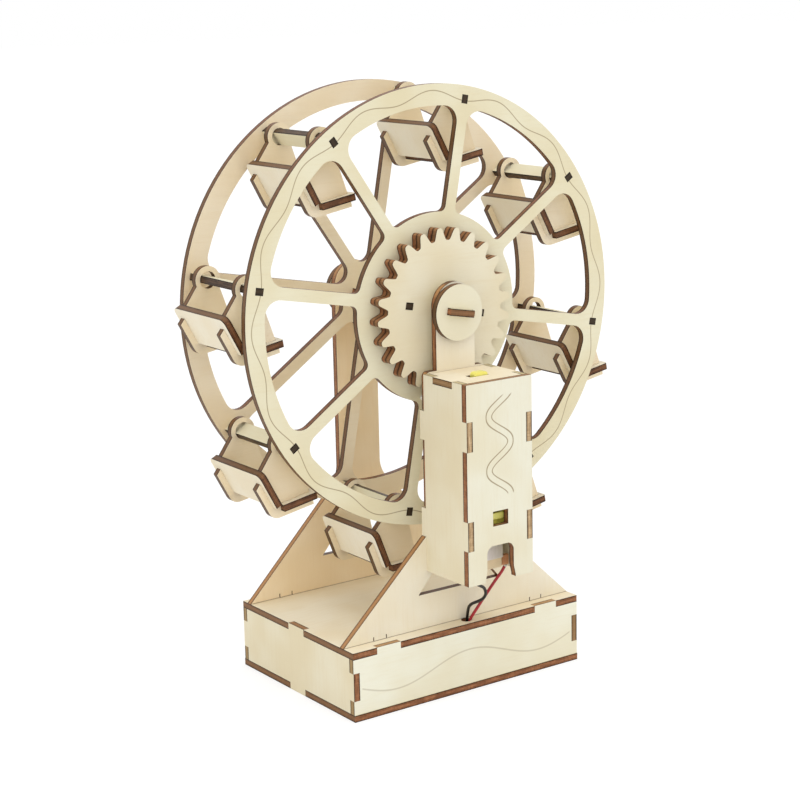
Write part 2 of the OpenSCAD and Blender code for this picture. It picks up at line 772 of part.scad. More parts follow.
module switch_body() {
    color([0.2, 0.2, 0.2]) difference() {
        translate([0, box_back_y - box_wall - switch_d / 2, cell_z])
            cube([switch_w, switch_d, switch_h], center = true);
        translate([0, box_back_y - box_wall, cell_z])
            cube([slider_slot_w, 2 * (slider_seat + slider_gap), slider_slot_h], center = true);
    }
}
module switch_slider() {
    color([0.1, 0.1, 0.1]) block(
        [slider_x - slider_w / 2, box_back_y - box_wall - slider_seat, cell_z - slider_h / 2],
        [slider_x + slider_w / 2, wall_y + slider_proud, cell_z + slider_h / 2]
    );
}

// A wire swept along its route
module wire(route) {
    n = wire_sides;
    last = len(route) - 1;
    points = [
        for (i = [0:last]) let (
            along = unit(route[min(i + 1, last)] - route[max(i - 1, 0)]),
            a = wire_d / 2 * unit(cross(along, [1, 0, 0])),
            b = cross(along, a)
        ) for (j = [0:n - 1]) wire_hole + route[i] + cos(360 * j / n) * a + sin(360 * j / n) * b
    ];
    sides = [
        for (i = [0:last - 1], j = [0:n - 1]) let (
            here = i * n + j, next = i * n + (j + 1) % n
        ) each [[here, here + n, next], [next, here + n, next + n]]
    ];
    first_end = [for (j = [1:n - 2]) [0, j, j + 1]];
    last_end = [for (j = [1:n - 2]) [last * n, last * n + j + 1, last * n + j]];
    polyhedron(points, concat(first_end, sides, last_end));
}
module red_wire() {
    color([0.8, 0.1, 0.2]) wire(red_route);
}
module black_wire() {
    color([0.1, 0.1, 0.1]) wire(black_route);
}

// Wheel
// Points round the outer end of a rim's window, to the left of the spoke that lies along the X axis
function outer_window_points() = let (
    outer_r = wheel_d / 2 - ring_w,
    centre_r = outer_r - window_outer_r,
    a = asin((spoke_w / 2 + window_outer_r) / centre_r),
    step = 360 / spokes
) concat(
    arc(polar(centre_r, a), window_outer_r, -90, a, 8),
    arc([0, 0], outer_r, a, step - a, 14),
    arc(polar(centre_r, step - a), window_outer_r, step - a, step + 90, 8)
);
// Points round the inner end of a window in the front rim, along the rim's hub
function front_window_points() = let (
    centre_r = hub_d / 2 + window_inner_r,
    a = asin((spoke_w / 2 + window_inner_r) / centre_r),
    step = 360 / spokes
) concat(
    arc(polar(centre_r, step - a), window_inner_r, step + 90, step + 180 - a, 6),
    arc([0, 0], hub_d / 2, step - a, a, 8),
    arc(polar(centre_r, a), window_inner_r, 180 + a, 270, 6)
);
// The same for the rear rim, where it is one arc from spoke to spoke
function rear_window_points() = let (
    step = 360 / spokes,
    centre_r = (spoke_w / 2 + rear_window_r) / sin(step / 2)
) arc(polar(centre_r, step / 2), rear_window_r, step + 90, 270, 10);
module axle_slot() {
    slot(axle_w + 2 * tab_gap, ply + 2 * tab_gap);
}
module gear_pin_slots() {
    for (side = [-1, 1]) translate([side * gear_pin_circle_r, 0])
        slot(gear_pin_w + 2 * tab_gap, ply + 2 * tab_gap);
}
module rim_outline(inner_window_points) {
    difference() {
        circle(d = wheel_d, $fn = 4 * round_steps);
        for (k = [0:spokes - 1]) rotate(k * 360 / spokes) {
            polygon(concat(outer_window_points(), inner_window_points));
            translate([bar_circle_r, 0]) slot(tenon_w + 2 * tab_gap, ply + 2 * tab_gap);
        }
        axle_slot();
    }
}
// Places a drawing on the axle and turns it with the wheel
module on_wheel() {
    translate([0, axle_z]) rotate(wheel_turn) children();
}
module front_rim() {
    color(birch) sheet_y(wheel_front_y) on_wheel() difference() {
        rim_outline(front_window_points());
        gear_pin_slots();
    }
}
module rear_rim() {
    color(birch) sheet_y(inner_rear_y) on_wheel() rim_outline(rear_window_points());
}
module gear_layer(front_y) {
    valley = -90 + gear_turn;
    color(birch) sheet_y(front_y) difference() {
        translate([0, axle_z]) gear_outline(
            gear_teeth, gear_pitch_r - gear_dedendum, gear_pitch_r + gear_addendum,
            gear_tooth_shares, valley + gear_pitch_angle / 2
        );
        on_wheel() {
            axle_slot();
            gear_pin_slots();
        }
    }
}
module gear_front_layer() {
    gear_layer(gear_front_y);
}
module gear_rear_layer() {
    gear_layer(gear_front_y + ply);
}
module gear_pins() {
    color(birch) sheet_y(gear_front_y - gear_pin_proud, 3 * ply + gear_pin_proud) on_wheel()
        for (side = [-1, 1]) translate([side * gear_pin_circle_r, 0]) slot(gear_pin_w, ply);
}
module axle() {
    color(birch) {
        sheet_y(axle_front_y, axle_rear_y - axle_front_y) on_wheel() intersection() {
            slot(axle_w, ply);
            circle(d = axle_w, $fn = round_steps);
        }
        sheet_y(inner_front_y, rim_gap) on_wheel() slot(axle_body_w, ply);
    }
}
module front_cap() {
    color(birch) sheet_y(front_cap_y) on_wheel() difference() {
        circle(d = cap_d, $fn = 2 * round_steps);
        rect(
            -axle_w / 2 - tab_gap, axle_w / 2 + cap_slot_extra, -ply / 2 - tab_gap, ply / 2 + tab_gap
        );
    }
}
module rear_cap() {
    color(birch) sheet_y(rear_cap_y) on_wheel() difference() {
        circle(d = cap_d, $fn = 2 * round_steps);
        axle_slot();
    }
}
module rear_spacer() {
    color(birch) sheet_y(spacer_y) on_wheel() difference() {
        circle(d = spacer_d, $fn = 2 * round_steps);
        axle_slot();
    }
}
module crossbars() {
    color(birch) for (k = [0:spokes - 1]) {
        sheet_y(inner_front_y, rim_gap) on_wheel() rotate(k * 360 / spokes) translate([bar_circle_r, 0])
            intersection() {
                slot(bar_w, ply);
                circle(d = bar_pivot_d, $fn = round_steps);
            }
        sheet_y(wheel_front_y, rim_gap + 2 * ply) on_wheel() rotate(k * 360 / spokes)
            translate([bar_circle_r, 0]) slot(tenon_w, ply);
    }
}

// Gondolas
// Moves a gondola's piece to its crossbar
module on_bar(k) {
    place = polar(bar_circle_r, wheel_turn + (k - 1) * 360 / spokes);
    swing = k == swung_gondola ? gondola_swing : 0;
    translate([place.x, wheel_mid_y, axle_z + place.y]) rotate([0, swing, 0]) children();
}
// A point along the back panel from the corner, and outwards from its inner face
function back_point(along, out) = corner + along * back_dir + out * back_out;
// A point along the seat panel from the corner, and down from its upper face
function seat_point(along, out) = corner + along * seat_dir + out * seat_out;

module side_plate() {
    outer = ply + arm_w;
    bend = corner
        + (outer - arm_corner_r) * (back_out + seat_out) / (1 + back_out * seat_out);
    difference() {
        union() {
            circle(d = eye_d, $fn = 2 * round_steps);
            polygon(concat(
                [
                    polar(eye_d / 2, eye_left_angle),
                    back_point(back_l - neck_left_inset, -tab_gap),
                    back_point(back_l / 2, -tab_gap),
                    back_point(back_l / 2, ply + tab_gap),
                    back_point(back_l - rear_arm_short, ply + tab_gap),
                    back_point(back_l - rear_arm_short - arm_slant, outer)
                ],
                arc(bend, arm_corner_r, 180 + back_lean, 270 + seat_rise, 8),
                [
                    seat_point(seat_l - seat_arm_short, outer),
                    seat_point(seat_l - seat_arm_short, ply + tab_gap),
                    seat_point(seat_l / 2, ply + tab_gap),
                    seat_point(seat_l / 2, -tab_gap),
                    seat_point(seat_l - neck_right_inset, -tab_gap),
                    polar(eye_d / 2, eye_right_angle)
                ]
            ));
        }
        circle(d = eye_hole_d, $fn = round_steps);
    }
}
module gondola_sides(k) {
    color(birch) on_bar(k) for (side = [-1, 1]) sheet_y(side * plate_pitch / 2 - ply / 2) side_plate();
}
// Outline of a panel from its inner end at corner_gap, with slots for the side plates
module panel(length, corner_r) {
    half = gondola_w / 2;
    difference() {
        polygon(concat(
            [[corner_gap, -half]],
            arc([length - corner_r, -half + corner_r], corner_r, -90, 0, 6),
            arc([length - corner_r, half - corner_r], corner_r, 0, 90, 6),
            [[corner_gap, half]]
        ));
        for (side = [-1, 1]) translate([0, side * plate_pitch / 2])
            slot(length + 2 * tab_gap, ply + 2 * tab_gap);
    }
}
module gondola_back(k) {
    color(birch) on_bar(k) translate([corner.x, 0, corner.y]) rotate([0, -90 - back_lean, 0])
        linear_extrude(ply) panel(back_l, back_corner_r);
}
module gondola_seat(k) {
    color(birch) on_bar(k) translate([corner.x, 0, corner.y]) rotate([0, -seat_rise, 0])
        translate([0, 0, -ply]) linear_extrude(ply) panel(seat_l, seat_corner_r);
}

base_bottom();
base_top();
base_front_wall();
base_back_wall();
base_left_wall();
base_right_wall();
front_support();
rear_support();
tower_front();
tower_left();
tower_right();
tower_top();
motor_gearbox();
motor_can();
motor_end_cap();
motor_terminals();
red_wire();
black_wire();
battery_box();
battery_lid();
battery_cells();
battery_contacts();
switch_body();
switch_slider();
motor_shaft();
drive_pinion();
front_rim();
rear_rim();
gear_front_layer();
gear_rear_layer();
gear_pins();
axle();
front_cap();
rear_cap();
rear_spacer();
crossbars();
gondola_sides(1);  // gondola_1_sides
gondola_back(1);  // gondola_1_back
gondola_seat(1);  // gondola_1_seat
gondola_sides(2);  // gondola_2_sides
gondola_back(2);  // gondola_2_back
gondola_seat(2);  // gondola_2_seat
gondola_sides(3);  // gondola_3_sides
gondola_back(3);  // gondola_3_back
gondola_seat(3);  // gondola_3_seat
gondola_sides(4);  // gondola_4_sides
gondola_back(4);  // gondola_4_back
gondola_seat(4);  // gondola_4_seat
gondola_sides(5);  // gondola_5_sides
gondola_back(5);  // gondola_5_back
gondola_seat(5);  // gondola_5_seat
gondola_sides(6);  // gondola_6_sides
gondola_back(6);  // gondola_6_back
gondola_seat(6);  // gondola_6_seat
gondola_sides(7);  // gondola_7_sides
gondola_back(7);  // gondola_7_back
gondola_seat(7);  // gondola_7_seat
gondola_sides(8);  // gondola_8_sides
gondola_back(8);  // gondola_8_back
gondola_seat(8);  // gondola_8_seat
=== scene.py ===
"""The looks of a small ferris wheel kit of laser cut plywood, over its CAD frame."""
import json
from math import atan, cos, pi, radians, sin

import bpy
from mathutils import Matrix, Vector


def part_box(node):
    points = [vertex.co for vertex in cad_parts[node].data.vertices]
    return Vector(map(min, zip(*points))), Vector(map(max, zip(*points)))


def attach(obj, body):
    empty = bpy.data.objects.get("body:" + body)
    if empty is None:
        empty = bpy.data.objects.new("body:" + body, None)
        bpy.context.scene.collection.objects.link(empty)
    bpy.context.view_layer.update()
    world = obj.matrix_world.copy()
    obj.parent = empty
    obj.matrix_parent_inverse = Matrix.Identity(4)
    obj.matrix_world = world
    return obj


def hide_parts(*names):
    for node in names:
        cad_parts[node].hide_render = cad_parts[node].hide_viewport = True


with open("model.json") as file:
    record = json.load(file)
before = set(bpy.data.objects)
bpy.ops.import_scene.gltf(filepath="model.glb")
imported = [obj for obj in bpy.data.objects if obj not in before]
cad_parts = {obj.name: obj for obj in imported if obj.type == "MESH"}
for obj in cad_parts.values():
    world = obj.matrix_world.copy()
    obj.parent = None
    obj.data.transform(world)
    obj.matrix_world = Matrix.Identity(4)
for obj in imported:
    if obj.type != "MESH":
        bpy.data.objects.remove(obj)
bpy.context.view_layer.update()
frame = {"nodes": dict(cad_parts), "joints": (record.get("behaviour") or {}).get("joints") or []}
nodes = frame["nodes"]
MM = 0.001
X, Y, Z = Vector((1, 0, 0)), Vector((0, 1, 0)), Vector((0, 0, 1))

# Places that many pieces share, from the frame
wheel_joint = next(j for j in frame["joints"] if j["name"] == "wheel_spin")
axle = Vector(wheel_joint["pos_m"])
gondolas = [j for j in frame["joints"] if j["name"].startswith("gondola")]
first_bar = Vector(gondolas[0]["pos_m"])
spokes = len(gondolas)
wheel_mid_y = first_bar.y
wheel_turn = atan((first_bar.z - axle.z) / (first_bar.x - axle.x))
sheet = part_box("base_bottom")[1].z


def srgb(red, green, blue):
    """A colour given as 0 to 255 on a screen, as Blender's linear values."""
    def linear(v):
        v /= 255
        return v / 12.92 if v <= 0.04045 else ((v + 0.055) / 1.055) ** 2.4
    return (linear(red), linear(green), linear(blue), 1)


def times(colour, *factors):
    """A colour with each of its parts multiplied, by one factor or by three."""
    factors = factors * 3 if len(factors) == 1 else factors
    return tuple(c * f for c, f in zip(colour, factors)) + (1,)


class Graph:
    """The nodes of one material, with a short call for each kind."""

    def __init__(self, name):
        self.material = bpy.data.materials.new(name)
        self.material.use_nodes = True
        self.tree = self.material.node_tree
        self.shader = self.tree.nodes["Principled BSDF"]
        self.coordinates = self.tree.nodes.new("ShaderNodeTexCoord")

    def put(self, socket, value):
        if isinstance(value, bpy.types.NodeSocket):
            self.tree.links.new(value, socket)
        else:
            socket.default_value = value

    def math(self, operation, *values):
        node = self.tree.nodes.new("ShaderNodeMath")
        node.operation = operation
        for socket, value in zip(node.inputs, values):
            self.put(socket, value)
        return node.outputs[0]

    def vector(self, operation, *values, out=0):
        node = self.tree.nodes.new("ShaderNodeVectorMath")
        node.operation = operation
        for socket, value in zip(node.inputs, values):
            self.put(socket, value)
        return node.outputs[out]

    def dot(self, a, b):
        return self.vector("DOT_PRODUCT", a, b, out="Value")

    def scaled(self, v, factor):
        node = self.tree.nodes.new("ShaderNodeVectorMath")
        node.operation = "SCALE"
        self.put(node.inputs[0], v)
        self.put(node.inputs["Scale"], factor)
        return node.outputs[0]

    def stretched(self, place, direction, factor):
        """A place drawn in along one direction, so that a noise there is drawn out that way."""
        return self.vector("ADD", place, self.scaled(direction, self.math(
            "MULTIPLY", self.dot(place, direction), factor - 1
        )))

    def parts(self, v):
        node = self.tree.nodes.new("ShaderNodeSeparateXYZ")
        self.put(node.inputs[0], v)
        return node.outputs

    def joined(self, x, y, z):
        node = self.tree.nodes.new("ShaderNodeCombineXYZ")
        for socket, value in zip(node.inputs, (x, y, z)):
            self.put(socket, value)
        return node.outputs[0]

    def noise(self, place, scale, detail=3.0, roughness=0.5):
        node = self.tree.nodes.new("ShaderNodeTexNoise")
        self.put(node.inputs["Vector"], place)
        node.inputs["Scale"].default_value = scale
        node.inputs["Detail"].default_value = detail
        node.inputs["Roughness"].default_value = roughness
        return node.outputs["Fac"]

    def mix(self, factor, a, b, blend="MIX"):
        node = self.tree.nodes.new("ShaderNodeMix")
        node.data_type = "RGBA"
        node.blend_type = blend
        self.put(node.inputs["Factor"], factor)
        self.put(next(s for s in node.inputs if s.identifier == "A_Color"), a)
        self.put(next(s for s in node.inputs if s.identifier == "B_Color"), b)
        return next(s for s in node.outputs if s.identifier == "Result_Color")

    def between(self, value, low, high, out_low=0.0, out_high=1.0):
        node = self.tree.nodes.new("ShaderNodeMapRange")
        node.interpolation_type = "SMOOTHSTEP"
        for socket, v in zip(node.inputs, (value, low, high, out_low, out_high)):
            self.put(socket, v)
        return node.outputs[0]

    def ramp(self, value, stops):
        node = self.tree.nodes.new("ShaderNodeValToRGB")
        elements = node.color_ramp.elements
        while len(elements) < len(stops):
            elements.new(1)
        for element, (place, colour) in zip(elements, stops):
            element.position = place
            element.color = colour
        self.put(node.inputs[0], value)
        return node.outputs[0]

    def bump(self, height, strength, distance):
        node = self.tree.nodes.new("ShaderNodeBump")
        node.inputs["Strength"].default_value = strength
        node.inputs["Distance"].default_value = distance
        self.put(node.inputs["Height"], height)
        self.put(self.shader.inputs["Normal"], node.outputs[0])

    def set(self, **values):
        for name, value in values.items():
            self.put(self.shader.inputs[name.replace("_", " ")], value)


def place_mm(g):
    """The place on the object at rest, in millimetres."""
    return g.scaled(g.coordinates.outputs["Object"], 1 / MM)


# Plywood

def flat_direction(node):
    """The direction through a CAD sheet: the one that its largest faces look in."""
    areas = {}
    for face in nodes[node].data.polygons:
        n = face.normal if max(face.normal, key=abs) > 0 else -face.normal
        key = tuple(round(c, 2) for c in n)
        area, total = areas.get(key, (0.0, Vector()))
        areas[key] = (area + face.area, total + n * face.area)
    return max(areas.values(), key=lambda pair: pair[0])[1].normalized()


def flat_sheet(node):
    """Builder of how far through one flat sheet a place is, and how squarely it faces out there.

    The first is 0 at the sheet's middle and 1 at its faces. The direction through it comes third.
    """
    across = flat_direction(node)
    reach = [across.dot(v.co) for v in nodes[node].data.vertices]
    middle = (min(reach) + max(reach)) / 2

    def build(g):
        along = g.dot(g.coordinates.outputs["Object"], across)
        through = g.math("MULTIPLY", g.math("SUBTRACT", along, middle), 2 / sheet)
        facing = g.dot(g.coordinates.outputs["Normal"], across)
        return g.math("ABSOLUTE", through), g.math("ABSOLUTE", facing), across
    return build


def sheet_pair(node):
    """The same for two sheets that stand the same way on both sides of the wheel's middle."""
    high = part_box(node)[1].y - wheel_mid_y

    def build(g):
        y = g.parts(g.coordinates.outputs["Object"])[1]
        out = g.math("ABSOLUTE", g.math("SUBTRACT", y, wheel_mid_y))
        through = g.math("MULTIPLY", g.math("SUBTRACT", out, high - sheet / 2), 2 / sheet)
        facing = g.parts(g.coordinates.outputs["Normal"])[1]
        return g.math("ABSOLUTE", through), g.math("ABSOLUTE", facing), Y
    return build


def ring_of_bars():
    """The same for the crossbars, each of which lies flat to the circle that they stand on."""
    step = 2 * pi / spokes

    def build(g):
        x, _, z = g.parts(g.vector("SUBTRACT", g.coordinates.outputs["Object"], axle))
        angle = g.math("SUBTRACT", g.math("ARCTAN2", z, x), wheel_turn)
        bar = g.math("ROUND", g.math("DIVIDE", angle, step))
        turned = g.math("ADD", g.math("MULTIPLY", bar, step), wheel_turn)
        sine, cosine = g.math("SINE", turned), g.math("COSINE", turned)
        across = g.joined(g.math("MULTIPLY", sine, -1.0), 0.0, cosine)
        through = g.math("MULTIPLY", g.dot(g.joined(x, 0.0, z), across), 2 / sheet)
        facing = g.dot(g.coordinates.outputs["Normal"], across)
        return g.math("ABSOLUTE", through), g.math("ABSOLUTE", facing), across
    return build


# Cut edges, for how hard they are burnt: their darker and lighter streaks, how much painted top
# light they get where they look up, and how much painted shade where they look straight up
PALE_EDGE = srgb(172, 142, 106), srgb(206, 178, 140), 0.55, 0.0
MILD_EDGE = srgb(150, 106, 72), srgb(190, 142, 100), 0.55, 0.0
PLAIN_EDGE = srgb(132, 86, 57), srgb(166, 112, 76), 0.55, 0.0
# The legs' edges: strong painted top light where they look up, and painted shade where they look
# straight up, as at the bottom of the leg opening
LEG_EDGE = srgb(132, 86, 57), srgb(168, 116, 76), 0.95, 0.9
WALL_EDGE = srgb(160, 122, 84), srgb(190, 142, 98), 0.35, 0.0
RIM_EDGE = srgb(110, 72, 47), srgb(144, 96, 64), 0.0, 0.0
DARK_EDGE = srgb(94, 61, 39), srgb(128, 86, 56), 0.4, 0.0
BLACK_EDGE = srgb(58, 42, 31), srgb(92, 68, 48), 0.2, 0.0
# Layers of wood from a sheet's middle to its faces, as shares of those colours: a dark seam of
# glue, and darkest of all where the beam came in and went out
EDGE_LAYERS = [
    (0.0, (1.06, 1.06, 1.06, 1)), (0.27, (1, 1, 1, 1)), (0.36, (0.62, 0.6, 0.58, 1)),
    (0.45, (1, 1, 1, 1)), (0.6, (0.9, 0.87, 0.84, 1)), (0.76, (0.28, 0.25, 0.22, 1)),
    (1.0, (0.1, 0.08, 0.07, 1))
]
# Noises in the wood, as how many to a millimetre, their detail and their roughness
CLOUDS, STREAKS, FIBRES = (0.035, 2.0), (0.8, 4.0, 0.6), (4.5, 3.0, 0.6)
EDGE_STREAKS, BEAM_MARKS = (1.5, 3.0), (1.6, 4.0, 0.65)
# How far noises are drawn out along the grain, along an edge, and across it as the beam goes
GRAIN_DRAW, EDGE_DRAW, BEAM_DRAW = 0.08, 0.14, 0.2
EDGE_ROUGHNESS, FACE_ROUGHNESS = 0.4, 0.66


def ply_material(name, tint, where, grain, seed, burnt, engraving=None):
    """Pale plywood with brown laser cut edges. engraving builds how deep a burnt line is."""
    g = Graph(name)
    through, facing, across = where(g)
    # Each sheet is cut from its own place in the wood
    place = g.vector("ADD", place_mm(g), (17.0 * seed, 9.0 * seed, 5.0 * seed))
    along_grain = g.stretched(place, grain, GRAIN_DRAW)
    clouds = g.noise(place, *CLOUDS)
    streaks = g.noise(along_grain, *STREAKS)
    fine = g.noise(along_grain, *FIBRES)
    warm, cool = times(tint, 0.965, 0.93, 0.865), times(tint, 1.02, 1.03, 1.05)
    face = g.mix(g.between(clouds, 0.34, 0.66), cool, warm)
    face = g.mix(g.between(streaks, 0.45, 0.75, 0.0, 0.3), face, times(tint, 0.93, 0.87, 0.77))
    face = g.mix(g.between(fine, 0.5, 0.8, 0.0, 0.14), face, times(tint, 0.8, 0.73, 0.62))
    if engraving:
        face = g.mix(engraving(g), face, ENGRAVED)
    # Painted contact shade: a thin dark line where another sheet stands on this one
    for axis, line in CONTACT_SHADE_LINES.get(name, ()):
        off = g.math("ABSOLUTE", g.math("SUBTRACT", g.parts(place_mm(g))[axis], line))
        face = g.mix(g.between(off, 0.14, 0.36, 0.62, 0.0), face, CONTACT_SHADE)
    # Along an edge the tone drifts in long streaks, and the beam leaves finer marks across them
    normal = g.coordinates.outputs["Normal"]
    along_edge = g.vector("CROSS_PRODUCT", normal, across)
    streak = g.noise(g.stretched(place, along_edge, EDGE_DRAW), *EDGE_STREAKS)
    beam = g.noise(g.stretched(place, across, BEAM_DRAW), *BEAM_MARKS)
    dark, light, painted_top_light, painted_flat_shade = burnt
    edge = g.mix(g.between(streak, 0.38, 0.62), dark, light)
    edge = g.mix(g.between(beam, 0.42, 0.66, 0.0, 0.42), edge, times(dark, 0.72))
    # The ends of the grain are duller, and the edges that look up get painted top light, lighter as
    # if lit from above
    end_on = g.math("ABSOLUTE", g.dot(normal, grain))
    edge = g.mix(g.between(end_on, 0.5, 0.95, 0.0, 0.75), edge, times(dark, 0.88, 1.16, 1.12))
    up = g.parts(normal)[2]
    # Painted light: edges that look up are lightened as though light falls on them from above
    edge = g.mix(g.between(up, 0.2, 0.65, 0.0, painted_top_light), edge, times(light, 1.12, 1.3, 1.3))
    # Painted shade: edges that look straight up are darkened, as the leg opening's bottom edge sits
    # in shade
    if painted_flat_shade:
        edge = g.mix(g.between(up, 0.85, 0.95, 0.0, painted_flat_shade), edge, times(dark, 0.5))
    ragged = g.math("MULTIPLY", g.math("SUBTRACT", beam, 0.5), 0.3)
    edge = g.mix(1.0, edge, g.ramp(g.math("ADD", through, ragged), EDGE_LAYERS), "MULTIPLY")
    on_face = g.between(facing, 0.55, 0.65)
    g.set(
        Base_Color=g.mix(on_face, edge, face),
        Roughness=g.between(on_face, 0.0, 1.0, EDGE_ROUGHNESS, FACE_ROUGHNESS)
    )
    g.shader.inputs["Specular IOR Level"].default_value = 0.2
    g.bump(g.mix(on_face, beam, streaks), 0.14, 0.0002)
    return g.material


def wave(across, along, middle, height, length, start, end, width, depth, spread=0.0):
    """A burnt line that swings to both sides of a middle, or two such lines spread apart.

    across and along name axes. depth is a share of the engraving's colour, the rest millimetres.
    """
    def build(g):
        x, _, z = g.parts(place_mm(g))
        spots = {"x": x, "z": z}
        turn = g.math("MULTIPLY", spots[along], 2 * pi / length)
        swing = g.math("ADD", g.math("MULTIPLY", g.math("COSINE", turn), height), middle)
        off = g.math("ABSOLUTE", g.math("SUBTRACT", spots[across], swing))
        slope = g.math("MULTIPLY", g.math("SINE", turn), height * 2 * pi / length)
        steep = g.math("SQRT", g.math("ADD", g.math("MULTIPLY", slope, slope), 1.0))
        off = g.math("ABSOLUTE", g.math("SUBTRACT", g.math("DIVIDE", off, steep), spread / 2))
        line = g.between(off, width * 0.3, width * 0.7, depth, 0.0)
        begun = g.between(spots[along], start, start + 1)
        unfinished = g.between(spots[along], end, end - 1)
        return g.math("MULTIPLY", line, g.math("MULTIPLY", begun, unfinished))
    return build


def scalloped_ring(radius, height, count, width, depth, front_y):
    """A burnt line round the rim's front face that swings in and out count times."""
    def build(g):
        from_axle = g.vector("SUBTRACT", g.coordinates.outputs["Object"], axle)
        x, y, z = g.parts(g.scaled(from_axle, 1 / MM))
        r = g.math("SQRT", g.math("ADD", g.math("MULTIPLY", x, x), g.math("MULTIPLY", z, z)))
        angle = g.math("SUBTRACT", g.math("ARCTAN2", z, x), wheel_turn)
        swing = g.math("MULTIPLY", g.math("COSINE", g.math("MULTIPLY", angle, count)), -height)
        off = g.math("ABSOLUTE", g.math("SUBTRACT", r, g.math("ADD", swing, radius)))
        line = g.between(off, width * 0.3, width * 0.7, depth, 0.0)
        front = g.math("LESS_THAN", y, front_y / MM + 0.5)
        return g.math("MULTIPLY", line, front)
    return build


# The engraving's colour, and the colour of the painted contact shade where sheets meet
ENGRAVED, CONTACT_SHADE = srgb(152, 134, 104), srgb(96, 70, 46)
PALE, PLAIN, WARM = srgb(229, 226, 207), srgb(226, 220, 193), srgb(227, 219, 194)
TAN, CREAM, TOAST = srgb(235, 221, 195), srgb(237, 227, 203), srgb(245, 226, 193)
MILK, BISCUIT, IVORY = srgb(235, 228, 209), srgb(237, 223, 196), srgb(234, 232, 214)

# Colour of each sheet, direction of its grain, and how its cut edges are burnt
SHEETS = {
    "base_bottom": (PLAIN, X, PLAIN_EDGE), "base_top": (CREAM, X, PLAIN_EDGE),
    "base_front_wall": (IVORY, X, WALL_EDGE), "base_back_wall": (PLAIN, X, WALL_EDGE),
    "base_left_wall": (WARM, Z, PLAIN_EDGE), "base_right_wall": (PLAIN, Y, MILD_EDGE),
    "front_support": (MILK, Z, LEG_EDGE), "rear_support": (TOAST, Z, LEG_EDGE),
    "tower_front": (PALE, Z, PLAIN_EDGE), "tower_left": (WARM, Z, PALE_EDGE),
    "tower_right": (WARM, Z, PALE_EDGE), "tower_top": (CREAM, X, MILD_EDGE),
    "front_rim": (PLAIN, X, RIM_EDGE), "rear_rim": (TAN, X, RIM_EDGE),
    "gear_front_layer": (WARM, X, PLAIN_EDGE), "gear_rear_layer": (WARM, Z, PLAIN_EDGE),
    "front_cap": (PALE, X, DARK_EDGE), "rear_cap": (PLAIN, X, DARK_EDGE),
    "rear_spacer": (PLAIN, X, PLAIN_EDGE), "axle": (PLAIN, Y, PLAIN_EDGE),
    "gear_pins": (TAN, Y, BLACK_EDGE)
}
ENGRAVINGS = {
    "base_front_wall": wave(
        "z", "x", middle=11.7, height=3.6, length=63.0, start=-47.0, end=47.0,
        width=0.55, depth=0.36
    ),
    "tower_front": wave(
        "x", "z", middle=0.0, height=4.6, length=19.0, start=76.0, end=112.0,
        width=0.42, depth=0.85, spread=2.4
    ),
    "front_rim": scalloped_ring(
        radius=74.1, height=1.5, count=16, width=0.35, depth=0.8, front_y=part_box("front_rim")[0].y
    )
}

# Thin dark lines of painted contact shade where one sheet stands on another or meets it, as their
# axis and place on it
base_top_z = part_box("base_top")[1].z / MM
support_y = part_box("front_support")[0].y / MM
CONTACT_SHADE_LINES = {
    "ply_front_support": [(2, base_top_z)], "ply_rear_support": [(2, base_top_z)],
    "ply_tower_top": [(1, support_y)]
}


def dress(node, material):
    nodes[node].data.materials.clear()
    nodes[node].data.materials.append(material)


# Seeds place each sheet in the wood: the sheets of the table count from 0, these from here
BAR_SEED, SIDES_SEED, PANELS_SEED = 31, 40, 50


def dress_ply():
    for seed, (node, (tint, grain, burnt)) in enumerate(SHEETS.items()):
        dress(node, ply_material(
            "ply_" + node, tint, flat_sheet(node), grain, seed, burnt, ENGRAVINGS.get(node)
        ))
    bars = ply_material("ply_crossbars", PLAIN, ring_of_bars(), Y, BAR_SEED, BLACK_EDGE)
    dress("crossbars", bars)
    for k in range(1, spokes + 1):
        sides = "gondola_%d_sides" % k
        dress(sides, ply_material(
            "ply_" + sides, BISCUIT, sheet_pair(sides), X, SIDES_SEED + k, DARK_EDGE
        ))
        for i, part in enumerate(("back", "seat")):
            panel = "gondola_%d_%s" % (k, part)
            dress(panel, ply_material(
                "ply_" + panel, MILK, flat_sheet(panel), Z, PANELS_SEED + 2 * k + i, DARK_EDGE
            ))


# Motor, battery box and switch

def plastic(name, colour, roughness, darker=0.12):
    """Moulded plastic with a faint grain and a little unevenness in colour and gloss."""
    g = Graph(name)
    place = place_mm(g)
    clouds = g.noise(place, 0.12, 2.0)
    grain = g.noise(place, 9.0, 3.0, 0.6)
    g.set(
        Base_Color=g.mix(g.between(clouds, 0.3, 0.7), times(colour, 1 - darker), colour),
        Roughness=g.between(grain, 0.3, 0.7, roughness - 0.05, roughness + 0.08)
    )
    g.bump(grain, 0.05, 0.0001)
    return g


def metal(name, colour, roughness, along, metallic=1.0):
    """Drawn metal with fine lines along one direction."""
    g = Graph(name)
    lines = g.noise(g.stretched(place_mm(g), along, 0.05), 7.0, 4.0, 0.6)
    g.set(
        Base_Color=g.mix(g.between(lines, 0.3, 0.7), times(colour, 0.86), colour),
        Roughness=g.between(lines, 0.3, 0.7, roughness - 0.06, roughness + 0.08)
    )
    g.shader.inputs["Metallic"].default_value = metallic
    g.bump(lines, 0.06, 0.0001)
    return g.material


